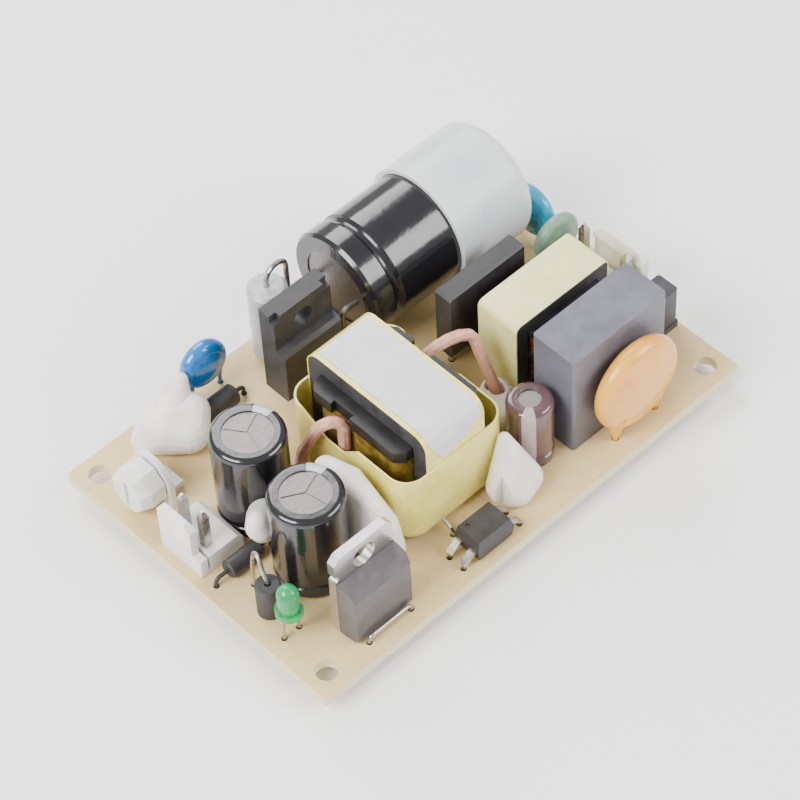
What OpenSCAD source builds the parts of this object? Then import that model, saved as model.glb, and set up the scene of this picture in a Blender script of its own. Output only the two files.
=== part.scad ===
// Open frame power supply: one printed circuit board that carries a flyback converter.
// Origin: centre of the four mounting holes, on the underside of the board.
// +X runs from the low-voltage end to the mains end, +Z is the component side.

/* [Board] */
// Length of the board
board_l = 76.2; // [76:0.1:84]
// Width of the board
board_w = 50.8; // [50.8:0.1:58]
// Thickness of the board
board_t = 1.6; // [1:0.1:2.4]
// Radius of the board's corners
board_corner_r = 0.5; // [0.2:0.1:2]
// Distance between the mounting holes along the board
hole_pitch_x = 69.85; // [69:0.05:72]
// Distance between the mounting holes across the board
hole_pitch_y = 44.45; // [44:0.05:46]
// Diameter of a mounting hole
hole_d = 3.2; // [2.6:0.1:3.6]

/* [Leads and solder] */
// Radius of a thin lead wire
wire_r = 0.3; // [0.2:0.05:0.35]
// Radius of a thick lead wire
thick_wire_r = 0.4; // [0.3:0.05:0.45]
// Room between a lead and its hole in the board
lead_clear = 0.15; // [0.1:0.05:0.25]
// How far the leads reach below the board
lead_below = 1.9; // [1.2:0.1:3]
// Width of the solder around a lead
solder_w = 0.6; // [0.4:0.05:0.65]

/* [Connectors] */
// Pitch of the connector posts
post_pitch = 3.96; // [3.5:0.02:5.08]
// Width of a square post
post_w = 1.14; // [0.64:0.02:1.3]
// Height of the posts above the board
post_h = 9.9; // [8:0.1:12]
// Depth of a header from its locking wall to its back
header_depth = 7.3; // [6:0.1:7.4]
// Depth of the input header, whose base is shorter behind its posts
input_depth = 5.6; // [5:0.1:6.2]
// Height of a header's base block
header_base_h = 3.2; // [2.4:0.1:4.5]
// Height of a header's locking wall
header_wall_h = 8.9; // [7:0.1:11]
// Thickness of a header's locking wall
header_wall_t = 1.2; // [0.8:0.1:1.5]
// Distance from the outside of the locking wall to the posts
header_post_x = 2.8; // [2.4:0.1:3.2]
// Distance from the board's edge to the output header
output_header_inset = 1.5; // [0:0.1:2]
// Place of the output header along the board's edge
output_header_y = 3.68; // [3:0.1:4.2]
// Place of the input header along the board's edge
input_header_y = -2.65; // [-2.8:0.05:-2.4]

/* [Trimmer] */
// Radius of the trimmer's rotor
trim_rotor_r = 3.5; // [2.8:0.1:3.6]
// Length of the rotor
trim_rotor_l = 4; // [3:0.1:4.6]
// Radius of the trimmer's standing plate
trim_plate_r = 3.7; // [3.6:0.1:4.1]
// Thickness of the trimmer's plate
trim_plate_t = 0.9; // [0.7:0.1:1.2]
// Radius of the rotor's pivot
trim_pivot_r = 1.1; // [0.8:0.1:1.4]
// Running clearance round the pivot
trim_clear = 0.08; // [0.05:0.01:0.1]

/* [Output capacitors] */
// Radius of an output capacitor's can
out_cap_r = 4.95; // [4.4:0.05:5.1]
// Height of an output capacitor's can
out_cap_h = 15.8; // [12:0.1:20]
// Thickness of a capacitor's sleeve
sleeve_t = 0.18; // [0.1:0.02:0.25]
// How far a sleeve folds over the top of its can
sleeve_lip = 1.5; // [0.6:0.1:1.8]

/* [Output rectifier] */
// Width of the rectifier's case
rect_w = 10; // [9.6:0.1:10.4]
// Height of the rectifier's moulded case
rect_case_h = 9.9; // [8:0.1:10.4]
// Thickness of the moulded case in front of the tab
rect_case_t = 3.2; // [2.6:0.1:3.4]
// Thickness of the rectifier's metal tab
rect_tab_t = 1.3; // [1:0.05:1.4]
// Height of the tab's top above the board
rect_tab_h = 14.8; // [14.6:0.1:16.6]
// Diameter of the hole in the tab
rect_hole_d = 3.7; // [3.2:0.1:4]

/* [Small output parts] */
// Radius of the ferrite bead
bead_r = 1.75; // [1.4:0.05:1.9]
// Height of the ferrite bead
bead_h = 5.8; // [4:0.1:7]
// Radius of the indicator's lens
led_r = 1.5; // [1.3:0.05:1.6]
// Height of the indicator's flange above the board
led_stand = 4.6; // [3:0.1:6]
// Radius of the small diode's body
diode_r = 1.3; // [0.9:0.05:1.4]
// Length of the small diode's body
diode_l = 5.4; // [4:0.1:6]

/* [Transformer] */
// Length of the transformer's core
core_l = 22; // [20.5:0.1:22.6]
// Depth of the transformer's core
core_d = 10; // [8.5:0.1:10.4]
// Height of the transformer's core
core_h = 17.8; // [16:0.1:20]
// Thickness of the core's back
core_back = 2.8; // [2.4:0.1:3.6]
// Width of the core's outer legs
core_leg = 2.4; // [1.8:0.1:2.6]
// Width of the core's middle leg
core_mid = 5; // [4:0.1:5.6]
// Radius of the core's outer corners
core_corner = 2.2; // [0.8:0.1:2.3]
// How far the bobbin reaches past the core on each side
bobbin_over = 2.5; // [1.8:0.1:2.8]
// Thickness of the bobbin's flanges
flange_t = 2; // [1:0.1:2.4]
// How far the outer wrap bulges past the core on each side
wrap_bulge = 4.2; // [3.6:0.1:4.6]
// Thickness of the wrap
wrap_t = 0.3; // [0.2:0.05:0.4]
// Thickness of the tape round a core
tape_t = 0.2; // [0.1:0.05:0.25]
// Width of the label on the transformer
label_w = 8.8; // [6:0.1:9.4]
// How far the label hangs down over the end
label_drop = 5; // [3:0.1:6]

/* [Mains choke] */
// Length of the choke's core
choke_l = 17; // [15:0.1:17.4]
// Depth of the choke's core
choke_d = 7; // [5.6:0.1:7.2]
// Height of the choke's core
choke_h = 13.6; // [12:0.1:15]
// Width of the choke's middle leg and twice its other legs
choke_mid = 4; // [3.4:0.1:4.4]
// How far the choke's bobbin reaches past its core
choke_over = 1.6; // [1:0.1:1.8]

/* [Mains parts] */
// Length of the suppression capacitor's box
x_cap_l = 17.4; // [16:0.1:17.8]
// Thickness of the suppression capacitor's box
x_cap_t = 7.5; // [6:0.1:7.8]
// Height of the suppression capacitor's box
x_cap_h = 18; // [14:0.1:20]
// Radius of the varistor's disc
varistor_r = 7.2; // [6:0.1:7.4]
// Thickness of the varistor's disc
varistor_t = 4.2; // [3.4:0.1:4.5]
// Length of the fuse's case
fuse_l = 8; // [6.8:0.1:8.1]
// Width of the fuse's case
fuse_w = 4; // [3.4:0.1:4.2]
// Height of the fuse's case
fuse_h = 7.6; // [7:0.1:9]
// Length of the bridge rectifier's case
bridge_l = 13.8; // [12.4:0.1:14.4]
// Thickness of the bridge rectifier's case
bridge_t = 3; // [2.6:0.1:3.2]
// Height of the bridge rectifier's case
bridge_h = 12; // [10:0.1:13]
// Radius of the bulk capacitor's can
bulk_r = 8.2; // [7.6:0.1:8.4]
// Length of the bulk capacitor's can
bulk_l = 28.2; // [25:0.1:29]
// Height of the bulk capacitor's axis above the board
bulk_z = 10.6; // [10:0.1:12]
// Length of the soft cup over the bulk capacitor's end
cup_l = 14; // [10:0.1:16]
// Thickness of the cup's wall
cup_t = 0.7; // [0.5:0.05:0.8]

/* [Primary side parts] */
// Width of the switch transistor
switch_w = 10.1; // [9.6:0.1:10.4]
// Height of the switch transistor's moulding
switch_h = 15.6; // [14.6:0.1:16.4]
// Thickness of its lower half
switch_t = 4.6; // [4:0.1:4.8]
// Thickness of its upper half
switch_top_t = 2.9; // [2.4:0.1:3.2]
// Radius of the standing diode
stand_diode_r = 2.8; // [2.4:0.05:3]
// Length of the standing diode
stand_diode_l = 13; // [10:0.1:14]
// Radius of the auxiliary capacitor's can
aux_cap_r = 3.05; // [2.6:0.05:3.1]
// Height of the auxiliary capacitor's can
aux_cap_h = 11; // [9:0.1:12.5]
// Radius of the clamp diode's body
clamp_r = 1.5; // [1.3:0.05:1.6]
// Length of the clamp diode's body
clamp_l = 6.4; // [5.6:0.1:6.6]
// Length of the optocoupler's case between its pin rows
opto_l = 6.4; // [6:0.1:6.6]
// Width of the optocoupler's case along its pin rows
opto_w = 4.6; // [4.2:0.1:4.9]
// Height of the optocoupler's case
opto_h = 3.5; // [3:0.1:4]
// Radius of the safety capacitor's disc
y_cap_r = 3.8; // [3.4:0.1:4]
// Thickness of the safety capacitor's disc
y_cap_t = 3.6; // [3:0.1:3.8]
// Radius of the snubber capacitor's disc
snub_cap_r = 4.3; // [3.6:0.1:4.5]
// Thickness of the snubber capacitor's disc
snub_cap_t = 3.2; // [2.4:0.1:3.4]
// Radius of the inrush thermistor's disc
ntc_r = 3.9; // [3.2:0.1:4]
// Thickness of the inrush thermistor's disc
ntc_t = 3; // [2.4:0.1:3.2]

/* [Hidden] */
$fn = 64;

// Room between faces that lie against each other without being one piece
seat = 0.03;
top = board_t;

// A row of n places round a middle, pitch apart along a direction
function row(mid, n, pitch, dir) = [for (i = [0:n - 1]) mid + (i - (n - 1) / 2) * pitch * dir];
// Each place of a list with the radius of its lead
function legs(places, r) = [for (p = places) [p[0], p[1], r]];

// The board's edges
west = -board_l / 2;
east = board_l / 2;
south = -board_w / 2;
north = board_w / 2;

// Where the parts stand: those near an edge keep their distance from it
output_header_x = west + output_header_inset;
input_header_x = east + 0.2;
trim_x = west + 6.1;
trim_y = north - 10.8;
trim_z = top + trim_plate_r + 0.1;
cap_a_at = [west + 12.8, -9.2];
cap_b_at = [west + 14.1, 3.2];
rect_at = [west + 13.35, south + 7.6];
bead_at = [west + 4.4, -10.3];
bead_far_at = bead_at + [1.2, 4.5];
led_at = [west + 3.95, south + 10.6];
diode_at = [west + 6.8, -2.5];
clamp_at = [-17, north - 6.5];
jumper_at = [rect_at[0] + 0.2, rect_at[1] - rect_tab_t - rect_case_t - wire_r - 0.35];
trafo_at = [-5.6, -4.8];
choke_at = [east - 16.4, -4.6];
x_cap_at = [east - 17.5, south + 9.35];
bulk_at = [east - 34.3, north - 8.7];
switch_at = [-5.35, north - 9.4];
stand_diode_at = [-4.3, north - 3.8];
opto_at = [-6.65, south + 3.5];
y_cap_at = [-15.6, north - 2.7];
snub_cap_at = [east - 3.1, 11];
ntc_at = [east - 4.3, 5];
aux_cap_at = [x_cap_at[0] - x_cap_l / 2 - aux_cap_r - sleeve_t - 0.8, south + 9.6];
varistor_at = [x_cap_at[0] + 0.6, x_cap_at[1] - x_cap_t / 2 - varistor_t / 2 - 0.3];
fuse_at = [x_cap_at[0] + x_cap_l / 2 + fuse_l / 2 + 0.4, x_cap_at[1] + 3.4];
bridge_at = [choke_at[0] - 4.3, choke_at[1] + choke_d / 2 + choke_over + 1.1 + bridge_t / 2];

// The holes that the leads pass through
header_post_r = post_w * sqrt(2) / 2 + seat;
output_posts = row([output_header_x + header_post_x, output_header_y], 2, post_pitch, [0, 1]);
input_posts = row([input_header_x - header_post_x, input_header_y], 2, 2 * post_pitch, [0, 1]);
flat_w = 0.8;
flat_t = 0.5;
flat_r = norm([flat_w, flat_t]) / 2 + seat;
package_pitch = 2.54;
rect_pins = row(rect_at + [0, -rect_tab_t - 0.7], 3, package_pitch, [1, 0]);
switch_pins = row(switch_at + [0, -1.6], 3, package_pitch, [1, 0]);
trim_pins = concat(row([trim_x + trim_plate_t / 2, trim_y], 2, 5, [0, 1]),
                   [[trim_x + trim_plate_t / 2 + 2.4, trim_y]]);
cap_a_pins = row(cap_a_at, 2, 5, [0, 1]);
cap_b_pins = row(cap_b_at, 2, 5, [0, 1]);
bead_pins = [bead_at, bead_far_at];
led_pins = row(led_at, 2, package_pitch, [1, 0]);
diode_pins = row(diode_at, 2, diode_l + 4.2, [1, 0]);
jumper_pins = row(jumper_at, 2, 7.3, [1, 0]);
stand_diode_pins = [stand_diode_at, stand_diode_at + [stand_diode_r + 0.95, 0.3]];
bulk_pins = row(bulk_at + [-2.6, 0], 2, 7.5, [0, 1]);
bridge_pins = row(bridge_at, 4, 3.81, [1, 0]);
x_cap_pins = row(x_cap_at, 2, 15, [1, 0]);
varistor_pins = row(varistor_at, 2, 7.5, [1, 0]);
aux_cap_pins = row(aux_cap_at, 2, 2.5, [0, 1]);
clamp_pins = row(clamp_at, 2, clamp_l + 3.2, [1, 0]);
fuse_pins = row(fuse_at, 2, 5.08, [1, 0]);
opto_pins = concat(row(opto_at + [-2 * package_pitch, 0], 2, package_pitch, [0, 1]),
                   row(opto_at + [2 * package_pitch, 0], 2, package_pitch, [0, 1]));
y_cap_pins = row(y_cap_at, 2, 5, [1, 0]);
snub_cap_pins = row(snub_cap_at, 2, 5, [0, 1]);
ntc_pins = row(ntc_at, 2, 5, [1, 0]);
trafo_rail_x = core_d / 2 + bobbin_over - 1.1;
trafo_pins = [for (s = [-1, 1]) each row(trafo_at + [s * trafo_rail_x, 0], 4, 3.6, [0, 1])];
choke_rail_y = choke_d / 2 + choke_over - 0.6;
choke_pins = [for (s = [-1, 1]) each row(choke_at + [0, s * choke_rail_y], 2, 8, [1, 0])];
lead_out_r = 0.85;
lead_out_x = core_d / 2 + bobbin_over - 0.55 + lead_out_r;
trafo_lead_pins = [trafo_at + [-core_d / 2 - wrap_bulge - lead_out_r - 0.3, 7.8],
                   trafo_at + [core_d / 2 + wrap_bulge + lead_out_r + 4.9, -3.4]];
shield_pin = [opto_at[0] - 2.2, opto_at[1] + 3.6];

LEADS = concat(legs(output_posts, header_post_r), legs(input_posts, header_post_r),
               legs(rect_pins, flat_r), legs(switch_pins, flat_r), legs(trim_pins, wire_r),
               legs(cap_a_pins, wire_r), legs(cap_b_pins, wire_r), legs(bead_pins, wire_r),
               legs(led_pins, wire_r), legs(diode_pins, wire_r), legs(jumper_pins, wire_r),
               legs(stand_diode_pins, thick_wire_r), legs(bulk_pins, thick_wire_r),
               legs(bridge_pins, thick_wire_r), legs(x_cap_pins, thick_wire_r),
               legs(varistor_pins, thick_wire_r), legs(aux_cap_pins, wire_r),
               legs(clamp_pins, wire_r), legs(fuse_pins, wire_r), legs(opto_pins, wire_r),
               legs(y_cap_pins, wire_r), legs(snub_cap_pins, wire_r), legs(ntc_pins, wire_r),
               legs(trafo_pins, wire_r), legs(choke_pins, wire_r),
               legs(trafo_lead_pins, thick_wire_r), legs([shield_pin], wire_r));

// ---------- shared shapes ----------

// A rectangle with round corners, centred
module rounded_rect(size, r) {
    square([size[0] - 2 * r, size[1]], center = true);
    square([size[0], size[1] - 2 * r], center = true);
    for (x = [-1, 1], y = [-1, 1])
        translate([x * (size[0] / 2 - r), y * (size[1] / 2 - r)]) circle(r);
}

// A straight round lead from below the board up to a height
module lead(at, r, up) {
    translate([at[0], at[1], -lead_below]) cylinder(r = r, h = up + lead_below, $fn = 24);
}

// A flat stamped lead, narrow in the board and wide above it
module flat_lead(at, up, shoulder_h) {
    translate([at[0] - flat_w / 2, at[1] - flat_t / 2, -lead_below])
        cube([flat_w, flat_t, up + lead_below]);
    translate([at[0] - flat_w * 0.8, at[1] - flat_t / 2, up - shoulder_h])
        cube([flat_w * 1.6, flat_t, shoulder_h]);
}

// A smooth curve through a list of points
function curve_point(a, b, c, d, t) =
    0.5 * (2 * b + (c - a) * t + (2 * a - 5 * b + 4 * c - d) * t * t
           + (3 * b - a - 3 * c + d) * t * t * t);
function curve(pts, steps) =
    [for (i = [0:len(pts) - 2], s = [0:steps - 1])
        curve_point(pts[max(i - 1, 0)], pts[i], pts[i + 1], pts[min(i + 2, len(pts) - 1)],
                    s / steps), pts[len(pts) - 1]];

// A round wire swept along points, with rings square to its path
module swept_wire(pts, r, side, sides = 8) {
    n = len(pts);
    heading = [for (i = [0:n - 1])
        let (d = pts[min(i + 1, n - 1)] - pts[max(i - 1, 0)]) d / norm(d)];
    rings = [for (i = [0:n - 1])
        let (u0 = cross(heading[i], side), u = u0 / norm(u0), v = cross(heading[i], u))
        for (k = [0:sides - 1])
            pts[i] + r * (cos(360 * k / sides) * u + sin(360 * k / sides) * v)];
    walls = [for (i = [0:n - 2], k = [0:sides - 1])
        let (a = i * sides + k, b = i * sides + (k + 1) % sides) [a, a + sides, b + sides, b]];
    ends = [[for (k = [0:sides - 1]) k], [for (k = [sides - 1:-1:0]) (n - 1) * sides + k]];
    polyhedron(points = rings, faces = concat(walls, ends), convexity = 6);
}

// Outline of a metal can from its base to its top: rolled foot, bead groove, round shoulder
can_shoulder = 0.7;
small_bead = 0.55;
bulk_bead = 1;
function can_line(r, h, grow, bead) = concat(
    [[r - 0.4 + grow, -grow], [r + grow, 0.4 - grow / 2]],
    [for (a = [-60:20:60]) [r + grow + bead * (0.5 - cos(a)), bead * 4 + bead * sin(a)]],
    [for (a = [0:15:90])
        [r - can_shoulder + (can_shoulder + grow) * cos(a),
         h - can_shoulder + (can_shoulder + grow) * sin(a)]]);

// The aluminium can, its lid scored so that it can vent
module metal_can(r, h, scores, turn = 0, bead = small_bead) {
    rotate([0, 0, turn]) difference() {
        rotate_extrude() polygon(concat([[0, 0]], can_line(r, h, 0, bead), [[0, h]]));
        for (a = scores)
            rotate([0, 0, a]) translate([0, -0.15, h - 0.12]) cube([r - sleeve_lip - 0.3, 0.3, 1]);
    }
}

// The shrunk sleeve that follows the can and folds over both of its ends
module shrunk_sleeve(r, h, lip, bead = small_bead) {
    rotate_extrude() difference() {
        polygon(concat([[0, -sleeve_t]], can_line(r, h, sleeve_t, bead), [[0, h + sleeve_t]]));
        polygon(concat([[0, 0]], can_line(r, h, seat, bead), [[0, h + seat]]));
        translate([0, -sleeve_t - 1]) square([r - lip, h + 2 * sleeve_t + 2]);
    }
}

// A ferrite core of two E halves round a window, its length along X
module ee_core(l, d, h, back, leg, mid, gap, corner) {
    for (flip = [0, 1])
        translate([0, 0, flip * h]) mirror([0, 0, flip])
            difference() {
                rotate([90, 0, 0]) linear_extrude(d, center = true)
                    intersection() {
                        translate([0, h / 2]) rounded_rect([l, h], corner);
                        translate([-l / 2, 0]) square([l, h / 2 - gap / 2]);
                    }
                for (s = [-1, 1])
                    translate([s * (l / 2 - leg + mid / 2) / 2, 0, back + h / 2])
                        cube([l / 2 - leg - mid / 2, d + 2, h], center = true);
            }
}

// A band of tape round such a core, from the outside of the ferrite
module core_band(l, d, h, from, to, corner) {
    translate([0, 0, h / 2]) rotate([90, 0, 0]) linear_extrude(d, center = true)
        difference() {
            rounded_rect([l + 2 * to, h + 2 * to], corner + to);
            rounded_rect([l + 2 * from, h + 2 * from], corner + from);
        }
}

// A dipped disc: round rim, softly crowned faces, its axis along Z
module dipped_disc(r, t) {
    rim = t * 0.36;
    crown = t / 2 - rim;
    ball = ((r - rim) * (r - rim) + crown * crown) / (2 * crown);
    rotate_extrude() translate([r - rim, 0]) circle(rim, $fn = 32);
    cylinder(r = r - rim, h = 2 * rim, center = true);
    for (s = [-1, 1])
        intersection() {
            translate([0, 0, s * (rim + crown - ball)]) sphere(ball, $fn = 96);
            translate([0, 0, s * (rim + crown) / 2]) cylinder(r = r - rim, h = rim + crown, center = true);
        }
}

// The dipped disc standing on edge with its two coated leads
module standing_disc(at, pins, turn, lift, r, t, wire, coat_h, neck = 2.4) {
    translate([at[0], at[1], top + lift + r]) rotate([90, 0, turn]) dipped_disc(r, t);
    for (p = pins) {
        lead(p, wire, top + lift + r * 0.55);
        translate([p[0], p[1], top + lift - coat_h])
            cylinder(r1 = wire * 1.2, r2 = wire * neck, h = coat_h + r * 0.5, $fn = 24);
    }
}

// ---------- board ----------

module board() color("#d8be88") difference() {
    linear_extrude(board_t) rounded_rect([board_l, board_w], board_corner_r);
    for (x = [-1, 1], y = [-1, 1])
        translate([x * hole_pitch_x / 2, y * hole_pitch_y / 2, -1]) cylinder(d = hole_d, h = board_t + 2);
    for (p = LEADS)
        translate([p[0], p[1], -1]) cylinder(r = p[2] + lead_clear, h = board_t + 2, $fn = 24);
}

// One cone of solder over the end of each lead
module solder_joints() color("#c9c9c6") for (p = LEADS)
    translate([p[0], p[1], 0]) rotate_extrude($fn = 24) polygon([
        [p[2] + seat, 0], [p[2] + solder_w, 0], [p[2] + 0.16, -lead_below * 0.8],
        [p[2] + seat, -lead_below * 0.8]]);

// ---------- connectors ----------

header_slot = 0.45;
header_foot = 0.8;
header_chamfer = 0.9;

// A header with a friction-lock wall at x = 0 and its base behind it
module header_housing(positions, depth, wall_from, wall_to, posts) {
    l = positions * post_pitch;
    difference() {
        rotate([90, 0, 0]) linear_extrude(l, center = true) polygon([
            [0, 0], [depth, 0], [depth, header_base_h - header_chamfer],
            [depth - header_chamfer, header_base_h],
            [header_wall_t + header_slot, header_base_h], [header_wall_t + header_slot, header_foot],
            [header_wall_t, header_foot], [header_wall_t, header_wall_h - 2.4],
            [header_wall_t + 0.35, header_wall_h - 1.9], [header_wall_t + 0.35, header_wall_h - 1.5],
            [header_wall_t - 0.3, header_wall_h], [0.25, header_wall_h], [0, header_wall_h - 0.25]]);
        for (side = [[-l / 2 - 1, wall_from], [wall_to, l / 2 + 1]])
            translate([-1, side[0], header_base_h])
                cube([header_wall_t + 1.6, side[1] - side[0], header_wall_h]);
        for (side = [[wall_from, 45], [wall_to, 45]])
            translate([header_wall_t / 2, side[0], header_wall_h]) rotate([45, 0, 0])
                cube([header_wall_t + 2, 1.6, 1.6], center = true);
        for (p = posts)
            translate([header_post_x, p, header_base_h / 2])
                cube([post_w + 2 * seat, post_w + 2 * seat, header_base_h + 2], center = true);
    }
}

// A square post with a four-sided point
module header_post(at) {
    tip = 1;
    total = post_h + top + lead_below;
    outline = [[-post_w / 2, 0], [post_w / 2, 0], [post_w / 2, total - tip], [post_w / 6, total],
               [-post_w / 6, total], [-post_w / 2, total - tip]];
    translate([at[0], at[1], -lead_below]) intersection() {
        rotate([90, 0, 0]) linear_extrude(post_w, center = true) polygon(outline);
        rotate([90, 0, 90]) linear_extrude(post_w, center = true) polygon(outline);
    }
}

module output_header() color("#e8e4e2")
    translate([output_header_x, output_header_y, top])
        header_housing(2, header_depth, -0.6 * post_pitch, post_pitch, [-post_pitch / 2, post_pitch / 2]);

module output_header_posts() color("#c8c4bc") for (p = output_posts) header_post(p);

module input_header() color("#e8e2d0")
    translate([input_header_x, input_header_y, top]) rotate([0, 0, 180])
        header_housing(3, input_depth, -0.87 * post_pitch, 1.42 * post_pitch, [-post_pitch, post_pitch]);

module input_header_posts() color("#c8c4bc") for (p = input_posts) header_post(p);

// ---------- trimmer ----------

trim_gap = 0.25;
trim_slot_w = 0.8;
trim_facets = [for (a = [22.5:45:359]) trim_rotor_r * [cos(a), sin(a)]];

// The standing plate with its foot block and pins; the pivot runs in its bore
module trimmer_body() color("#e4e2de") {
    difference() {
        translate([trim_x, trim_y, 0]) rotate([90, 0, 90]) linear_extrude(trim_plate_t) {
            translate([0, trim_z]) circle(trim_plate_r);
            translate([-trim_plate_r, top]) square([2 * trim_plate_r, trim_z - top]);
        }
        translate([trim_x - 1, trim_y, trim_z]) rotate([0, 90, 0])
            cylinder(r = trim_pivot_r + trim_clear, h = trim_plate_t + 2);
    }
    translate([trim_x + trim_plate_t, trim_y - 1.8, top]) cube([2.8, 3.6, 1.2]);
    for (p = trim_pins) lead(p, wire_r, top + 0.6);
}

// The eight-sided rotor with its screwdriver slot, and the pivot riveted behind the plate
module trimmer_rotor() color("#dfe0dc")
    translate([trim_x - trim_gap, trim_y, trim_z]) rotate([0, -90, 0]) {
        difference() {
            union() {
                linear_extrude(trim_rotor_l * 0.6) polygon(trim_facets);
                translate([0, 0, trim_rotor_l * 0.6])
                    linear_extrude(trim_rotor_l * 0.4, scale = 0.84) polygon(trim_facets);
            }
            translate([0, 0, trim_rotor_l])
                cube([trim_rotor_r * 1.3, trim_slot_w, 2.2], center = true);
        }
        translate([0, 0, -trim_gap - trim_plate_t - 0.4])
            cylinder(r = trim_pivot_r, h = trim_gap + trim_plate_t + 0.5);
        translate([0, 0, -trim_gap - trim_plate_t - 0.8]) cylinder(r = trim_pivot_r + 0.5, h = 0.6);
    }

// ---------- output capacitors ----------

module radial_can(at, pins, r, h, scores, turn = 0) {
    translate([at[0], at[1], top + sleeve_t]) metal_can(r, h, scores, turn);
    for (p = pins) lead(p, wire_r, top + 1);
}

module radial_sleeve(at, r, h) {
    translate([at[0], at[1], top + sleeve_t]) shrunk_sleeve(r, h, sleeve_lip);
}

module output_cap_a_can() color("#7a7474")
    radial_can(cap_a_at, cap_a_pins, out_cap_r, out_cap_h, [20, 150, 280]);

module output_cap_a_sleeve() color("#1d1c20") radial_sleeve(cap_a_at, out_cap_r, out_cap_h);

module output_cap_b_can() color("#7a7474")
    radial_can(cap_b_at, cap_b_pins, out_cap_r, out_cap_h, [20, 150, 280], 105);

module output_cap_b_sleeve() color("#1d1c20") radial_sleeve(cap_b_at, out_cap_r, out_cap_h);

// ---------- output rectifier ----------

// The moulding in front of the tab, drafted above and below its parting line
module rectifier_case() color("#4a464a")
    translate([rect_at[0], rect_at[1] - rect_tab_t - seat, top + 0.2])
        intersection() {
            rotate([90, 0, 90]) linear_extrude(rect_w + 2, center = true) polygon([
                [0, 0], [-rect_case_t + 0.5, 0], [-rect_case_t, 0.5],
                [-rect_case_t, rect_case_h - 1.4], [-rect_case_t + 0.9, rect_case_h], [0, rect_case_h]]);
            linear_extrude(rect_case_h) polygon([
                [-rect_w / 2, 0], [rect_w / 2, 0], [rect_w / 2, -0.8],
                [rect_w / 2 - 0.25, -rect_case_t], [-rect_w / 2 + 0.25, -rect_case_t],
                [-rect_w / 2, -0.8]]);
        }

// The plated tab with its chamfered corners, side notches and fixing hole
module rectifier_tab() color("#c9c4c4")
    translate([rect_at[0], rect_at[1], 0]) rotate([90, 0, 0]) linear_extrude(rect_tab_t)
        difference() {
            polygon([[-rect_w / 2, top + 0.2], [rect_w / 2, top + 0.2],
                     [rect_w / 2, top + rect_tab_h - 1], [rect_w / 2 - 1, top + rect_tab_h],
                     [-rect_w / 2 + 1, top + rect_tab_h], [-rect_w / 2, top + rect_tab_h - 1]]);
            translate([0, top + rect_tab_h - 2.8]) circle(d = rect_hole_d);
            for (s = [-1, 1]) translate([s * rect_w / 2, top + rect_case_h + 1.1]) circle(0.6, $fn = 24);
        }

module rectifier_leads() color("#c9c6bf")
    for (p = rect_pins) flat_lead(p, top + 0.2 - seat, 0.15);

module jumper_wire() color("#cfccc6") {
    r = 0.8;
    for (p = jumper_pins) lead(p, wire_r, top + 1.1 - r);
    for (s = [-1, 1])
        translate([jumper_at[0] + s * (3.65 - r), jumper_at[1], top + 1.1 - r])
            rotate([90, 0, s > 0 ? 0 : 180])
                rotate_extrude(angle = 90, $fn = 32) translate([r, 0]) circle(wire_r, $fn = 16);
    translate([jumper_at[0] - 3.65 + r, jumper_at[1], top + 1.1]) rotate([0, 90, 0])
        cylinder(r = wire_r, h = 7.3 - 2 * r, $fn = 24);
}

// ---------- small output parts ----------

module ferrite_bead() color("#47474b")
    translate([bead_at[0], bead_at[1], top]) rotate_extrude() polygon([
        [wire_r + lead_clear, 0], [bead_r - 0.25, 0], [bead_r, 0.25], [bead_r, bead_h - 0.25],
        [bead_r - 0.25, bead_h], [wire_r + lead_clear, bead_h]]);

// The wire that threads the bead and arches over to its second hole
bead_wire_path = [[bead_at[0], bead_at[1], -lead_below], [bead_at[0], bead_at[1], top + bead_h],
                  [bead_at[0] + 0.1, bead_at[1] + 0.9, top + bead_h + 2],
                  [bead_at[0] + 0.6, (bead_at[1] + bead_far_at[1]) / 2, top + bead_h + 3.2],
                  [bead_far_at[0], bead_far_at[1] - 0.5, top + bead_h + 1.4],
                  [bead_far_at[0], bead_far_at[1], top + bead_h - 2],
                  [bead_far_at[0], bead_far_at[1], -lead_below]];

module bead_wire() color("#c9c6bf")
    swept_wire(concat([bead_wire_path[0]], curve([for (i = [1:5]) bead_wire_path[i]], 3),
                      [bead_wire_path[6]]), wire_r, [1, 0, 0]);

led_h = 5.2;

module indicator_lens() color("#2fa866")
    translate([led_at[0], led_at[1], top + led_stand]) {
        cylinder(r = led_r, h = led_h - led_r, $fn = 48);
        translate([0, 0, led_h - led_r]) sphere(led_r, $fn = 48);
        difference() {
            cylinder(r = led_r + 0.4, h = 0.9, $fn = 48);
            translate([led_r + 0.15, -3, -1]) cube([2, 6, 3]);
        }
    }

module indicator_leads() color("#c9c6bf")
    for (p = led_pins) lead(p, wire_r * 0.85, top + led_stand - seat);

// An axial diode lying along the board, its leads turned down into their holes
module lying_diode(at, pins, r, l) {
    z = top + r + 0.1;
    bend = 0.8;
    span = norm(pins[1] - pins[0]);
    translate([at[0], at[1], z]) rotate([0, 90, 0]) {
        rotate_extrude() polygon([[0, -l / 2], [r - 0.2, -l / 2], [r, -l / 2 + 0.2], [r, l / 2 - 0.2],
                                  [r - 0.2, l / 2], [0, l / 2]]);
        cylinder(r = wire_r, h = span - 2 * bend, center = true, $fn = 24);
    }
    for (s = [-1, 1]) {
        x = at[0] + s * span / 2;
        translate([x - s * bend, at[1], z - bend]) rotate([90, 0, 0])
            rotate([0, 0, s > 0 ? 0 : 90])
                rotate_extrude(angle = 90, $fn = 32) translate([bend, 0]) circle(wire_r, $fn = 16);
        lead([x, at[1]], wire_r, z - bend);
    }
}

module small_diode() color("#29292c") lying_diode(diode_at, diode_pins, diode_r, diode_l);

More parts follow.
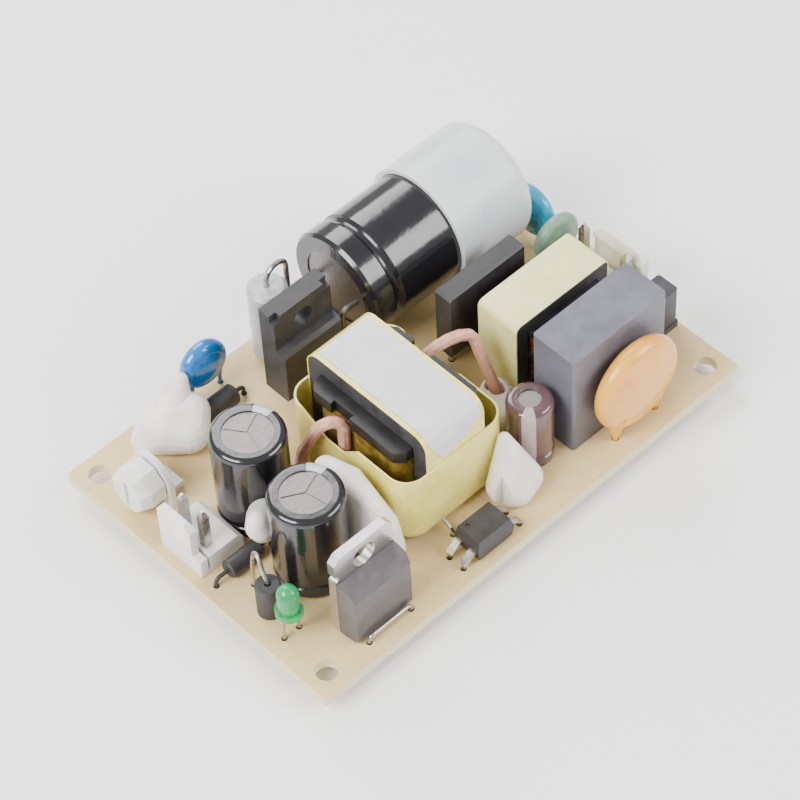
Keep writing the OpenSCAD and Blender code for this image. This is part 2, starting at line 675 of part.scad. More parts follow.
module clamp_diode() color("#242427") lying_diode(clamp_at, clamp_pins, clamp_r, clamp_l);

// ---------- switch transistor ----------

switch_lift = 2.8;
switch_step_z = 9.4;

// A fully moulded package: thick below, thin above, with a fixing hole and two ejector notches
module switch_case() color("#2b2a2d")
    translate([switch_at[0], switch_at[1], top + switch_lift]) difference() {
        rotate([90, 0, 90]) linear_extrude(switch_w, center = true) polygon([
            [0, 0], [-switch_t + 0.3, 0], [-switch_t, 0.4], [-switch_t, switch_step_z - 0.6],
            [-switch_t + 0.5, switch_step_z], [-switch_top_t, switch_step_z],
            [-switch_top_t, switch_h], [0, switch_h]]);
        translate([0, 1, switch_h - 3.3]) rotate([90, 0, 0]) cylinder(d = 3.2, h = switch_t + 2);
        for (s = [-1, 1])
            translate([s * (switch_w / 2 - 0.6), -switch_top_t, switch_h])
                cube([1.2, 1.8, 2.2], center = true);
    }

module switch_leads() color("#b9b6b0")
    for (p = switch_pins) flat_lead(p, top + switch_lift - seat, 1.4);

// ---------- standing diode ----------

module standing_diode() color("#b9b9bb")
    translate([stand_diode_at[0], stand_diode_at[1], top + 0.5]) difference() {
        rotate_extrude() polygon([
            [0, 0], [stand_diode_r - 0.5, 0], [stand_diode_r, 0.5],
            [stand_diode_r, stand_diode_l - 0.5], [stand_diode_r - 0.5, stand_diode_l],
            [0, stand_diode_l]]);
        translate([0, 0, -1]) cylinder(r = thick_wire_r + seat, h = stand_diode_l + 2, $fn = 24);
    }

// The lead runs through the diode, loops over and comes down beside it
module standing_diode_lead() color("#b5b2ab") {
    a = stand_diode_pins[0];
    b = stand_diode_pins[1];
    high = top + stand_diode_l + 1.5;
    mid = (a + b) / 2;
    swept_wire(concat([[a[0], a[1], -lead_below]],
                      [for (t = [0:22.5:180]) let (c = mid + (a - mid) * cos(t))
                          [c[0], c[1], high + norm(b - a) * 0.45 * sin(t)]],
                      [[b[0], b[1], -lead_below]]), thick_wire_r, [0, 1, 0]);
}

// ---------- bulk capacitor ----------

// The can lies along the board: bung and leads at the low-voltage end
module bulk_frame() {
    translate([bulk_at[0], bulk_at[1], top + bulk_z]) rotate([0, 90, 0]) children();
}

module bulk_cap_can() color("#9a9896") {
    bulk_frame() metal_can(bulk_r, bulk_l, [], 0, bulk_bead);
    bend = 1;
    for (p = bulk_pins) {
        lead(p, thick_wire_r, top + bulk_z - bend);
        translate([p[0] + bend, p[1], top + bulk_z - bend]) rotate([90, 0, 0]) rotate([0, 0, 90])
            rotate_extrude(angle = 90, $fn = 32) translate([bend, 0]) circle(thick_wire_r, $fn = 16);
        translate([p[0] + bend, p[1], top + bulk_z]) rotate([0, 90, 0])
            cylinder(r = thick_wire_r, h = bulk_at[0] - p[0] - bend + 0.5, $fn = 24);
    }
}

module bulk_cap_sleeve() color("#1b1a1d") 
    bulk_frame() shrunk_sleeve(bulk_r, bulk_l, sleeve_lip + 1, bulk_bead);

// A soft translucent cup pushed over the far end
module bulk_cap_cup() color("#e6e8ea") bulk_frame() {
    inner = bulk_r + sleeve_t + 2 * seat;
    end = bulk_l + sleeve_t + 2 * seat;
    round_r = 2.2;
    corner = can_shoulder + sleeve_t;
    rotate_extrude() difference() {
        polygon(concat([[0, end - cup_l + cup_t], [inner + cup_t, end - cup_l + cup_t]],
                       [for (a = [0:15:90]) [inner + cup_t - round_r + round_r * cos(a),
                                             end + cup_t - round_r + round_r * sin(a)]],
                       [[0, end + cup_t]]));
        polygon(concat([[0, end - cup_l - 1], [inner, end - cup_l - 1]],
                       [for (a = [0:15:90]) [inner - corner + corner * cos(a),
                                             end - corner + corner * sin(a)]],
                       [[0, end]]));
    }
}

// ---------- bridge rectifier ----------

bridge_lift = 2.4;

module bridge_case() color("#2a292c")
    translate([bridge_at[0], bridge_at[1], top + bridge_lift]) intersection() {
        rotate([90, 0, 0]) linear_extrude(bridge_t, center = true) polygon([
            [-bridge_l / 2, 0], [bridge_l / 2, 0], [bridge_l / 2, bridge_h],
            [-bridge_l / 2 + 0.6, bridge_h], [-bridge_l / 2, bridge_h - 0.6]]);
        rotate([90, 0, 90]) linear_extrude(bridge_l, center = true) polygon([
            [-bridge_t / 2 + 0.2, 0], [bridge_t / 2 - 0.2, 0], [bridge_t / 2, 1],
            [bridge_t / 2, bridge_h - 0.3], [bridge_t / 2 - 0.3, bridge_h],
            [-bridge_t / 2 + 0.3, bridge_h], [-bridge_t / 2, bridge_h - 0.3], [-bridge_t / 2, 1]]);
    }

module bridge_leads() color("#c2bfb8") for (p = bridge_pins) {
    lead(p, thick_wire_r, top + bridge_lift - seat);
    translate([p[0], p[1], top + bridge_lift - seat - 1.2])
        cylinder(r = thick_wire_r * 1.7, h = 1.2, $fn = 24);
}

// ---------- mains choke ----------

core_lift = 0.4;
choke_leg = choke_mid / 2;
choke_corner = 0.8;
choke_base = top + core_lift + tape_t;

module choke_core() color("#4d4a4c") translate([choke_at[0], choke_at[1], choke_base])
    ee_core(choke_l, choke_d, choke_h, choke_leg, choke_leg, choke_mid, 0.1, choke_corner);

// The bobbin slides over a middle leg; its flanges fit between the outer legs
module bobbin(l, d, h, back, leg, mid, over, t, middle, rail_l, rail_w, base_z) {
    inside = mid / 2 + seat;
    tube = 0.8;
    flange_l = l - 2 * leg - 2 * seat;
    difference() {
        union() {
            for (z = [back + seat, h - back - seat - t])
                translate([0, 0, z]) linear_extrude(t)
                    polygon(flange_outline(flange_l / 2, d / 2 + over, 1.2));
            if (middle)
                translate([0, 0, h / 2 - 0.4]) linear_extrude(0.8)
                    polygon(flange_outline(flange_l / 2, d / 2 + over, 1.2));
            translate([0, 0, h / 2])
                cube([2 * (inside + tube), d + 2 * seat + 2 * tube, h - 2 * back - 2 * seat], center = true);
            for (s = [-1, 1])
                translate([-rail_l / 2, s > 0 ? d / 2 + 0.25 : -d / 2 - 0.25 - rail_w, base_z])
                    cube([rail_l, rail_w, back + seat + t / 2 - base_z]);
        }
        translate([0, 0, h / 2]) cube([2 * inside, d + 2 * seat, 2 * h], center = true);
    }
}

function flange_outline(x, y, c) = [[-x, -y + c], [-x + c, -y], [x - c, -y], [x, -y + c],
                                    [x, y - c], [x - c, y], [-x + c, y], [-x, y - c]];

// A winding round a bobbin's tube, between two heights
module winding(mid, d, out_x, out_y, from, to) {
    tube = mid / 2 + 0.8 + 2 * seat;
    translate([0, 0, from]) linear_extrude(to - from) difference() {
        rounded_rect([2 * out_x, 2 * out_y], 2.4);
        square([2 * tube, d + 4 * seat + 1.6], center = true);
    }
}

module choke_bobbin() color("#232225") translate([choke_at[0], choke_at[1], choke_base])
    difference() {
        bobbin(choke_l, choke_d, choke_h, choke_leg, choke_leg, choke_mid, choke_over, 1,
               true, 11, choke_over - 0.25, top - choke_base);
        for (p = choke_pins)
            translate([p[0] - choke_at[0], p[1] - choke_at[1], top - choke_base - 1])
                cylinder(r = wire_r + seat, h = choke_leg + 1.2 - top + choke_base, $fn = 24);
    }

// Two stacked copper windings, with the pins that their ends are soldered to
module choke_windings() color("#b5764a") {
    translate([choke_at[0], choke_at[1], choke_base])
        for (z = [[choke_leg + 1 + 2 * seat, choke_h / 2 - 0.4 - seat],
                  [choke_h / 2 + 0.4 + seat, choke_h - choke_leg - 1 - 2 * seat]])
            winding(choke_mid, choke_d, choke_l / 2 - choke_leg - 0.3,
                    choke_d / 2 + choke_over + 0.6, z[0], z[1]);
    for (p = choke_pins) lead(p, wire_r, choke_base + choke_leg);
}

module choke_tape() color("#e6e3b0") translate([choke_at[0], choke_at[1], choke_base])
    core_band(choke_l, choke_d + 0.2, choke_h, seat, tape_t, choke_corner);

// ---------- suppression parts ----------

module x_capacitor() color("#6a6977") {
    translate([x_cap_at[0], x_cap_at[1], top]) difference() {
        linear_extrude(x_cap_h) rounded_rect([x_cap_l, x_cap_t], 0.5);
        translate([0, 0, -1]) linear_extrude(1.5) rounded_rect([x_cap_l - 2.4, x_cap_t - 2.4], 0.5);
    }
    for (p = x_cap_pins) lead(p, thick_wire_r, top + 1);
}

module varistor() color("#eaa73c")
    standing_disc(varistor_at, varistor_pins, 0, 1.5, varistor_r, varistor_t, thick_wire_r, 1, 4.4);

module aux_cap_can() color("#85807f")
    radial_can(aux_cap_at, aux_cap_pins, aux_cap_r, aux_cap_h, []);

module aux_cap_sleeve() color("#5d4446") radial_sleeve(aux_cap_at, aux_cap_r, aux_cap_h);

// A small radial fuse: a base plate with a taller cover
module box_fuse() color("#3b3a3c") {
    translate([fuse_at[0], fuse_at[1], top]) {
        linear_extrude(1) rounded_rect([fuse_l, fuse_w], 0.3);
        linear_extrude(fuse_h) rounded_rect([fuse_l - 0.3, fuse_w - 0.3], 0.5);
    }
    for (p = fuse_pins) lead(p, wire_r, top + 0.5);
}

y_cap_lift = 2.3;

module y_capacitor() color("#0a72b8")
    standing_disc(y_cap_at, y_cap_pins, 0, y_cap_lift, y_cap_r, y_cap_t, wire_r, 0.6);

module snubber_capacitor() color("#1f93b3")
    standing_disc(snub_cap_at, snub_cap_pins, 90, 1.6, snub_cap_r, snub_cap_t, wire_r, 0.6);

module inrush_thermistor() color("#6f8a74")
    standing_disc(ntc_at, ntc_pins, 0, 1.8, ntc_r, ntc_t, wire_r, 0.6);

// ---------- optocoupler ----------

opto_lift = 0.5;

module optocoupler_case() color("#3c3b3d")
    translate([opto_at[0], opto_at[1], top + opto_lift]) difference() {
        intersection() {
            rotate([90, 0, 0]) linear_extrude(opto_w, center = true) polygon([
                [-opto_l / 2 + 0.25, 0], [opto_l / 2 - 0.25, 0], [opto_l / 2, opto_h * 0.45],
                [opto_l / 2, opto_h * 0.55], [opto_l / 2 - 0.4, opto_h], [-opto_l / 2 + 0.4, opto_h],
                [-opto_l / 2, opto_h * 0.55], [-opto_l / 2, opto_h * 0.45]]);
            rotate([90, 0, 90]) linear_extrude(opto_l, center = true) polygon([
                [-opto_w / 2 + 0.2, 0], [opto_w / 2 - 0.2, 0], [opto_w / 2, opto_h * 0.5],
                [opto_w / 2 - 0.3, opto_h], [-opto_w / 2 + 0.3, opto_h], [-opto_w / 2, opto_h * 0.5]]);
        }
        translate([-opto_l / 2 + 1.3, opto_w / 2 - 1.2, opto_h - 0.15]) cylinder(r = 0.4, h = 1, $fn = 24);
    }

// Each pin leaves the case at its parting line and slopes down to its hole, wide and then narrow
module optocoupler_pins() color("#c5c2bc") for (p = opto_pins) {
    s = p[0] > opto_at[0] ? 1 : -1;
    side = opto_at[0] + s * (opto_l / 2 + seat);
    z = top + opto_lift + opto_h / 2;
    reach = s * (p[0] - side) + 0.125;
    knee = top + 0.9;
    translate([side, p[1], 0]) mirror([s > 0 ? 0 : 1, 0, 0]) rotate([90, 0, 0]) {
        linear_extrude(0.5, center = true) polygon([
            [0, z - 0.125], [0.25, z - 0.125], [reach - 0.25, knee], [reach - 0.25, -lead_below],
            [reach, -lead_below], [reach, knee + 0.15], [0.4, z + 0.125], [0, z + 0.125]]);
        linear_extrude(1.1, center = true) polygon([
            [0, z - 0.125], [0.25, z - 0.125], [reach - 0.25, knee], [reach, knee + 0.15],
            [0.4, z + 0.125], [0, z + 0.125]]);
    }
}

// ---------- transformer ----------

trafo_base = top + core_lift + tape_t;

// The core's length runs across the board
module trafo_frame() {
    translate([trafo_at[0], trafo_at[1], trafo_base]) rotate([0, 0, 90]) children();
}

module transformer_core() color("#38363a")
    trafo_frame() ee_core(core_l, core_d, core_h, core_back, core_leg, core_mid, 0.1, core_corner);

module transformer_bobbin() color("#1f1e21") {
    difference() {
        trafo_frame() bobbin(core_l, core_d, core_h, core_back, core_leg, core_mid, bobbin_over,
                             flange_t, false, 15, bobbin_over - 0.75, top - trafo_base);
        for (p = trafo_pins)
            translate([p[0], p[1], top - 1]) cylinder(r = wire_r + seat, h = 4, $fn = 24);
        for (s = [-1, 1])
            translate([trafo_at[0] + s * lead_out_x, trafo_at[1] + 2.4, trafo_base + core_h - core_back - flange_t / 2])
                cube([2 * lead_out_r + 0.4, 3.6, 2 * flange_t], center = true);
    }
}

// The coil, wound full between the flanges, with the bobbin's pins
module transformer_winding() color("#a89a3e") {
    trafo_frame() winding(core_mid, core_d, core_l / 2 - core_leg - 0.4, core_d / 2 + bobbin_over - 0.6,
                          core_back + flange_t + 2 * seat, core_h - core_back - flange_t - 2 * seat);
    for (p = trafo_pins) lead(p, wire_r, top + 2.8);
}

module transformer_core_tape() color("#e6dc82")
    trafo_frame() core_band(core_l, core_d + 0.2, core_h, seat, tape_t, core_corner);

// Outline of the wrap: it lies on the core's legs and stands away from the coil
module wrap_outline(shrink) {
    rounded_rect([core_l + 2 * (tape_t + seat + wrap_t - shrink), core_d + 2 * (wrap_bulge - shrink)],
                 wrap_corner - shrink);
}

wrap_corner = 3.2;
wrap_from = 1;
wrap_to = 12.2;
wrap_dip = 2.6;

// The yellow wrap round core and coil, its top edge pulled down where the leads cross it
module transformer_wrap() color("#e3d672") trafo_frame() difference() {
    translate([0, 0, wrap_from]) linear_extrude(wrap_to - wrap_from) difference() {
        wrap_outline(0);
        wrap_outline(wrap_t);
    }
    for (s = [-1, 1])
        translate([1.5, s * (core_d / 2 + wrap_bulge), wrap_to]) rotate([90, 0, 0])
            linear_extrude(6, center = true)
                polygon([[-4, 0.1], [7, 0.1], [2, -wrap_dip], [-1, -wrap_dip]]);
}

// The label lies on the top tape and folds down over the end with a pointed flap
module transformer_label() color("#cfcfd4") trafo_frame() {
    lie = tape_t + seat;
    intersection() {
        core_band(core_l, label_w, core_h, lie, lie + 0.12, core_corner);
        union() {
            translate([-core_l / 2 + 0.9, -label_w, core_h - 0.5]) cube([core_l - 2.2, 2 * label_w, 2]);
            mirror([1, 0, 0]) translate([core_l / 2 - 1.2, 0, core_h + 1]) rotate([90, 0, 90])
                linear_extrude(3) polygon([
                    [-label_w / 2, 0], [label_w / 2, 0], [label_w / 2, -1 - label_drop * 0.2],
                    [label_w * 0.28, -1 - label_drop], [-label_w * 0.1, -1 - label_drop * 0.75],
                    [-label_w / 2, -1 - label_drop * 0.4]]);
        }
    }
}

// Two stranded leads rise inside the wrap, arch over its edge and go down into the board
module stranded_lead(out, start_y, pin, arch_z, rise) {
    mid = (out + pin[0]) / 2;
    step_y = (pin[1] - start_y) * 0.002;
    swept_wire(concat(
        [[out, start_y, trafo_base + 8.6]],
        [for (t = [0:30:180]) [mid + (out - mid) * cos(t), start_y + step_y * t, arch_z + rise * sin(t)]],
        [[pin[0], pin[1] - 40 * step_y, top + 5.4], [pin[0], pin[1], top + 2.6],
         [pin[0], pin[1], top + 0.4]]), lead_out_r, [0, 1, 0]);
    lead(pin, thick_wire_r, top + 0.4 - seat);
}

module transformer_leads() color("#c99a86") {
    stranded_lead(trafo_at[0] - lead_out_x, trafo_at[1] + 1.6, trafo_lead_pins[0], trafo_base + 12.5, 1.25);
    stranded_lead(trafo_at[0] + lead_out_x, trafo_at[1] + 3.2, trafo_lead_pins[1], trafo_base + 11.7, 1.7);
}

// A bare wire from the transformer's foot to its hole by the optocoupler
module shield_wire() color("#cfccc6")
    swept_wire([[shield_pin[0], shield_pin[1], -lead_below], [shield_pin[0], shield_pin[1], top + 0.7],
                [shield_pin[0], shield_pin[1] + 0.4, top + 1.1],
                [shield_pin[0] + 0.1, trafo_at[1] - core_l / 2 - tape_t - wrap_t - 3 * seat, top + 1.7]],
               wire_r, [1, 0, 0]);

// ---------- silicone glue ----------

// A soft blob: a rounded hull over balls given as [x, y, height over the board, radius]
module blob(balls) {
    hull() for (b = balls)
        translate([b[0], b[1], top + b[2]]) sphere(b[3], $fn = 20);
}

// Everything below the board's face and a slice of air above it
module board_room() {
    translate([-board_l, -board_w, -20]) cube([2 * board_l, 2 * board_w, 20 + top + seat]);
}

// The room that a standing can takes, with a hair of air
module can_room(at, r) {
    translate([at[0], at[1], -1]) cylinder(r = r + sleeve_t + seat, h = 40);
}

module glue_corner() color("#dcd6ce") difference() {
    z = top + clamp_r + 0.1;
    span = norm(clamp_pins[1] - clamp_pins[0]);
    translate([y_cap_at[0], y_cap_at[1], 0]) {
        blob([[-12.0, -1.7, 1.8, 2.1], [-9.4, -3.3, 3.4, 3.2], [-7.7, -5.4, 3.0, 3.0],
              [-5.7, -3.6, 3.8, 2.8]]);
        blob([[-10.0, -0.1, 2.0, 2.2], [-7.2, -1.8, 4.4, 2.8], [-5.9, -1.4, 6.4, 1.8],
              [-4.8, -1.1, 7.6, 1.1]]);
    }
    board_room();
    can_room(cap_b_at, out_cap_r);
    translate([y_cap_at[0], y_cap_at[1], top + y_cap_lift + y_cap_r]) rotate([90, 0, 0])
        cylinder(r = y_cap_r + seat, h = y_cap_t + 2 * seat, center = true);
    for (p = y_cap_pins)
        translate([p[0], p[1], 0]) cylinder(r = 1, h = top + y_cap_lift + y_cap_r, $fn = 24);
    translate([clamp_at[0], clamp_at[1], z]) rotate([0, 90, 0])
        cylinder(r = clamp_r + seat, h = clamp_l + 2 * seat, center = true);
    translate([clamp_at[0] - span / 2 - 0.5, clamp_at[1] - 0.5, 0]) cube([span + 1, 1, z + 0.5]);
}

module glue_bead() color("#d9d3c9") difference() {
    middle = (cap_a_at + cap_b_at) / 2;
    translate([middle[0], middle[1], 0])
        blob([[-4.9, -1.2, 9.6, 1.3], [-4.4, -0.8, 7.4, 1.9], [-3.6, -0.2, 5.4, 1.8], [-2.8, 0, 7.2, 2.4]]);
    can_room(cap_a_at, out_cap_r);
    can_room(cap_b_at, out_cap_r);
}

module glue_teardrop() color("#eeeae4") difference() {
    translate([trafo_at[0], trafo_at[1], 0])
        blob([[6.8, -14.8, 1.8, 2.6], [5.4, -14.2, 3, 2.4], [7.8, -13, 5.8, 1.8], [7.2, -12.6, 10, 0.9],
              [9.2, -14.6, 2, 2.2]]);
    board_room();
    trafo_room();
    can_room(aux_cap_at, aux_cap_r);
    opto_room();
}

// The room that the wrapped transformer takes, to its full bulge
module trafo_room() {
    trafo_frame() translate([0, 0, -3]) linear_extrude(30) wrap_outline(-seat);
}

module opto_room() {
    translate([opto_at[0], opto_at[1], top]) cube([4 * package_pitch + 1.4, opto_w + 0.4, 12], center = true);
}

module rect_room() {
    translate([rect_at[0] - rect_w / 2 - 0.1, rect_at[1] - rect_case_t - rect_tab_t - 0.1, 0])
        cube([rect_w + 0.2, rect_case_t + rect_tab_t + 0.15, 30]);
}

module glue_rectifier() color("#e4dfd8") difference() {
    translate([cap_a_at[0], cap_a_at[1], 0])
        blob([[7.5, -6, 2.8, 2.6], [7.2, -6.2, 8.2, 2], [6.9, -5, 11.4, 1.3], [7.7, 0.4, 11, 1.9],
              [6.5, 1, 2.4, 2.2], [6.7, 3.8, 11.6, 1.6]]);
    board_room();
    can_room(cap_a_at, out_cap_r);
    rect_room();
    trafo_room();
}

module glue_choke() color("#d8d2c4") difference() {
    translate([aux_cap_at[0], aux_cap_at[1], 0])
        blob([[0.7, 6.6, 1.4, 2.4], [1.7, 8.4, 3.8, 2.1], [0.3, 4.8, 3.4, 1.6], [2.9, 6.2, 1.4, 2]]);
    board_room();
    can_room(aux_cap_at, aux_cap_r);
    translate([choke_at[0] - choke_l / 2 - tape_t - 0.1, choke_at[1] - 8, 0]) cube([30, 16, 30]);
    translate([x_cap_at[0] - x_cap_l / 2 - seat, x_cap_at[1] - x_cap_t, 0])
        cube([x_cap_l, 1.5 * x_cap_t + seat, 30]);
    for (back = [0, 1])
        translate([trafo_lead_pins[1][0], trafo_lead_pins[1][1] + back, 0]) cylinder(r = 1.1, h = 30);
}

// ---------- chips under the board ----------

// A small-outline controller and a few chip parts on the solder side
module chip_parts() {
    color("#2c2c30") translate([-9.5, 1.5, -1.5]) cube([3.9, 4.9, 1.45]);
    color("#c5c2bc") for (s = [-1, 1], i = [0:3])
        translate([-7.55 + s * 2.45 - 0.48, 1.9 + i * 1.27, -0.2]) cube([0.96, 0.4, 0.17]);
    color("#3a3a3e") for (p = [[-29, -14.5], [-29, -12], [-12.2, 9.5], [-12.2, 12], [1.2, 9.5], [27.5, 8.5]])
        translate([p[0], p[1], -0.58]) cube([2, 1.25, 0.55]);
}

board();
solder_joints();
output_header();
output_header_posts();
trimmer_body();
trimmer_rotor();
output_cap_a_can();
output_cap_a_sleeve();
output_cap_b_can();
output_cap_b_sleeve();
rectifier_case();
rectifier_tab();
rectifier_leads();
jumper_wire();
ferrite_bead();
bead_wire();
indicator_lens();
indicator_leads();
small_diode();
switch_case();
switch_leads();
standing_diode();
standing_diode_lead();
bulk_cap_can();
bulk_cap_sleeve();
bulk_cap_cup();
bridge_case();
bridge_leads();
choke_core();
choke_bobbin();
choke_windings();
choke_tape();
x_capacitor();
varistor();
aux_cap_can();
aux_cap_sleeve();
clamp_diode();
optocoupler_case();
optocoupler_pins();
transformer_core();
transformer_bobbin();
transformer_winding();
transformer_core_tape();
transformer_wrap();
transformer_label();
transformer_leads();
shield_wire();
y_capacitor();
snubber_capacitor();
inrush_thermistor();
input_header();
input_header_posts();
box_fuse();
glue_corner();
glue_bead();
glue_teardrop();
glue_rectifier();
glue_choke();
chip_parts();
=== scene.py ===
# %% [markdown]
# # An open frame power supply
# This lesson dresses a small bare-board power supply. The solids of its board, cans, coils,
# headers and glue come from the CAD frame. Here each one gets a finish built from nodes, and
# a floor, lamps and a camera complete the picture.

# %% Open the CAD frame
import math

import bpy
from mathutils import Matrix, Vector


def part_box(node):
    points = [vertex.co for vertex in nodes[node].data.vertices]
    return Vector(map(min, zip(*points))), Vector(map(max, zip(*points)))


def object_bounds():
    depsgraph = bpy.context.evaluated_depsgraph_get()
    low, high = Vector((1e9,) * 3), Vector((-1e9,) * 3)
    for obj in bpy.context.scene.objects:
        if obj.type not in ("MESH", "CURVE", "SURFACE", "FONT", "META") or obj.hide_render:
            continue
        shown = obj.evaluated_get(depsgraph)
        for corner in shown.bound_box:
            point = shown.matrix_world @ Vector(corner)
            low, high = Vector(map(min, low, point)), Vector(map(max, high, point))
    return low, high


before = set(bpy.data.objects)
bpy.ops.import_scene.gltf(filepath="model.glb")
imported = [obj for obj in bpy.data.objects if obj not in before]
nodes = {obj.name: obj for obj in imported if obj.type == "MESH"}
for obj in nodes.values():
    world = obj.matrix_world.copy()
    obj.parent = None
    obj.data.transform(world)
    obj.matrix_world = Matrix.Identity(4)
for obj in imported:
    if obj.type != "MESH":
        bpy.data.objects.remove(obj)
cad_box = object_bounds()
MM = 0.001

# %% [markdown]
# ## Camera, floor and light
# The supply lies on a white table, seen steeply from above one corner with a long lens,
# which keeps the board's edges almost parallel. Large soft lamps and a pale world give
# even light with quiet shadows, as for a catalogue picture.

# %% Camera
CAMERA_AT = (-0.175023, -0.202424, 0.337089)
CAMERA_TURN = (38.8753, 2.3013, -43.5792)
SENSOR_MM = 36
LENS_MM = 144
camera = bpy.data.objects.new("camera", bpy.data.cameras.new("camera"))
camera.data.sensor_width = SENSOR_MM
camera.data.lens = LENS_MM
camera.location = CAMERA_AT
camera.rotation_euler = [math.radians(a) for a in CAMERA_TURN]
bpy.context.scene.collection.objects.link(camera)
bpy.context.scene.camera = camera


# %% Small helpers for node trees
def new_material(name):
    """A node material with its shader, ready for more nodes."""
    material = bpy.data.materials.new(name)
    material.use_nodes = True
    tree = material.node_tree
    return material, tree, tree.nodes["Principled BSDF"]


def add_node(tree, kind, values=None, **settings):
    """One node with its properties and its unlinked socket values."""
    node = tree.nodes.new(kind)
    for key, value in settings.items():
        setattr(node, key, value)
    for key, value in (values or {}).items():
        node.inputs[key].default_value = value
    return node


def object_point(tree, offset=(0, 0, 0), scale=(1, 1, 1)):
    """Object coordinates, moved and scaled by a Mapping node."""
    coords = add_node(tree, "ShaderNodeTexCoord")
    place = add_node(tree, "ShaderNodeMapping", {"Location": offset, "Scale": scale})
    tree.links.new(coords.outputs["Object"], place.inputs["Vector"])
    return place.outputs["Vector"]


def colour_ramp(tree, fac, stops):
    """A colour ramp fed by fac. Stops are (position, colour)."""
    ramp = add_node(tree, "ShaderNodeValToRGB")
    band = ramp.color_ramp
    band.elements[0].position, band.elements[1].position = stops[0][0], stops[-1][0]
    band.elements[0].color, band.elements[1].color = (*stops[0][1], 1), (*stops[-1][1], 1)
    for position, colour in stops[1:-1]:
        band.elements.new(position).color = (*colour, 1)
    tree.links.new(fac, ramp.inputs["Fac"])
    return ramp.outputs["Color"]


def noise_field(tree, vector, size_mm, detail=4.0, rough=0.55, distort=0.0):
    """Noise whose blotches are about size_mm wide."""
    node = add_node(tree, "ShaderNodeTexNoise",
                    {"Scale": 1 / (size_mm * MM), "Detail": detail, "Roughness": rough,
                     "Distortion": distort})
    tree.links.new(vector, node.inputs["Vector"])
    return node.outputs["Fac"]


def bump(tree, shader, height, depth_mm, strength=1.0):
    """Bump from a height field, with its depth in millimetres."""
    node = add_node(tree, "ShaderNodeBump", {"Strength": strength, "Distance": depth_mm * MM})
    tree.links.new(height, node.inputs["Height"])
    tree.links.new(node.outputs["Normal"], shader.inputs["Normal"])


def math_node(tree, operation, a, b=None, c=None):
    """One maths step. Each operand is a socket or a number."""
    node = add_node(tree, "ShaderNodeMath", operation=operation)
    for socket, operand in zip(node.inputs, (a, b, c)):
        if operand is None:
            continue
        if hasattr(operand, "links"):
            tree.links.new(operand, socket)
        else:
            socket.default_value = operand
    return node.outputs[0]


def mix_colours(tree, fac, first, second):
    """Two colours, mixed by a factor. Each may be a socket or a plain colour."""
    node = add_node(tree, "ShaderNodeMix", data_type="RGBA")
    if hasattr(fac, "links"):
        tree.links.new(fac, node.inputs["Factor"])
    else:
        node.inputs["Factor"].default_value = fac
    for key, colour in (("A", first), ("B", second)):
        socket = [s for s in node.inputs if s.name == key and s.type == "RGBA"][0]
        if hasattr(colour, "links"):
            tree.links.new(colour, socket)
        else:
            socket.default_value = (*colour, 1)
    return [s for s in node.outputs if s.type == "RGBA"][0]


# %% [markdown]
# ## Plain finishes
# Moulded plastic, plated wire, sintered ferrite and dipped epoxy differ mostly in gloss and
# in the size of their fine grain. One function makes them all: two close colours mixed
# by soft noise, a roughness that wanders a little, and fine bump. Only the numbers differ.

# %% One function for moulded, dipped and plated surfaces
def srgb(red, green, blue):
    """A colour picked on a 0 to 255 scale, as the linear values a shader takes."""
    def linear(v):
        v /= 255
        return v / 12.92 if v <= 0.04045 else ((v + 0.055) / 1.055) ** 2.4
    return linear(red), linear(green), linear(blue)


def finish(name, light, dark, rough=0.5, grain_mm=0.4, blotch_mm=4.0, depth_mm=0.01, metal=0.0,
           coat=0.0, through=0.0, skin=0.0, ior=1.5):
    """A surface of two close colours, with grain bump and wandering roughness."""
    material, tree, shader = new_material(name)
    point = object_point(tree)
    blotches = noise_field(tree, point, blotch_mm, 5.0, 0.6)
    tree.links.new(colour_ramp(tree, blotches, [(0.34, dark), (0.66, light)]),
                   shader.inputs["Base Color"])
    grain = noise_field(tree, point, grain_mm, 3.0, 0.6)
    low, high = max(rough - 0.07, 0.03), min(rough + 0.07, 1.0)
    span = add_node(tree, "ShaderNodeMapRange", {"From Min": 0.3, "From Max": 0.7, "To Min": low,
                                                 "To Max": high})
    tree.links.new(blotches, span.inputs["Value"])
    tree.links.new(span.outputs["Result"], shader.inputs["Roughness"])
    bump(tree, shader, grain, depth_mm)
    shader.inputs["Metallic"].default_value = metal
    shader.inputs["Coat Weight"].default_value = coat
    shader.inputs["Coat Roughness"].default_value = 0.08
    shader.inputs["Transmission Weight"].default_value = through
    shader.inputs["IOR"].default_value = ior
    shader.inputs["Subsurface Weight"].default_value = skin
    shader.inputs["Subsurface Radius"].default_value = (0.0012, 0.0011, 0.001)
    shader.inputs["Subsurface Scale"].default_value = 1.0
    return material


def paint(material, *names):
    """Gives CAD nodes one material."""
    for name in names:
        slots = nodes[name].data.materials
        slots.clear()
        slots.append(material)


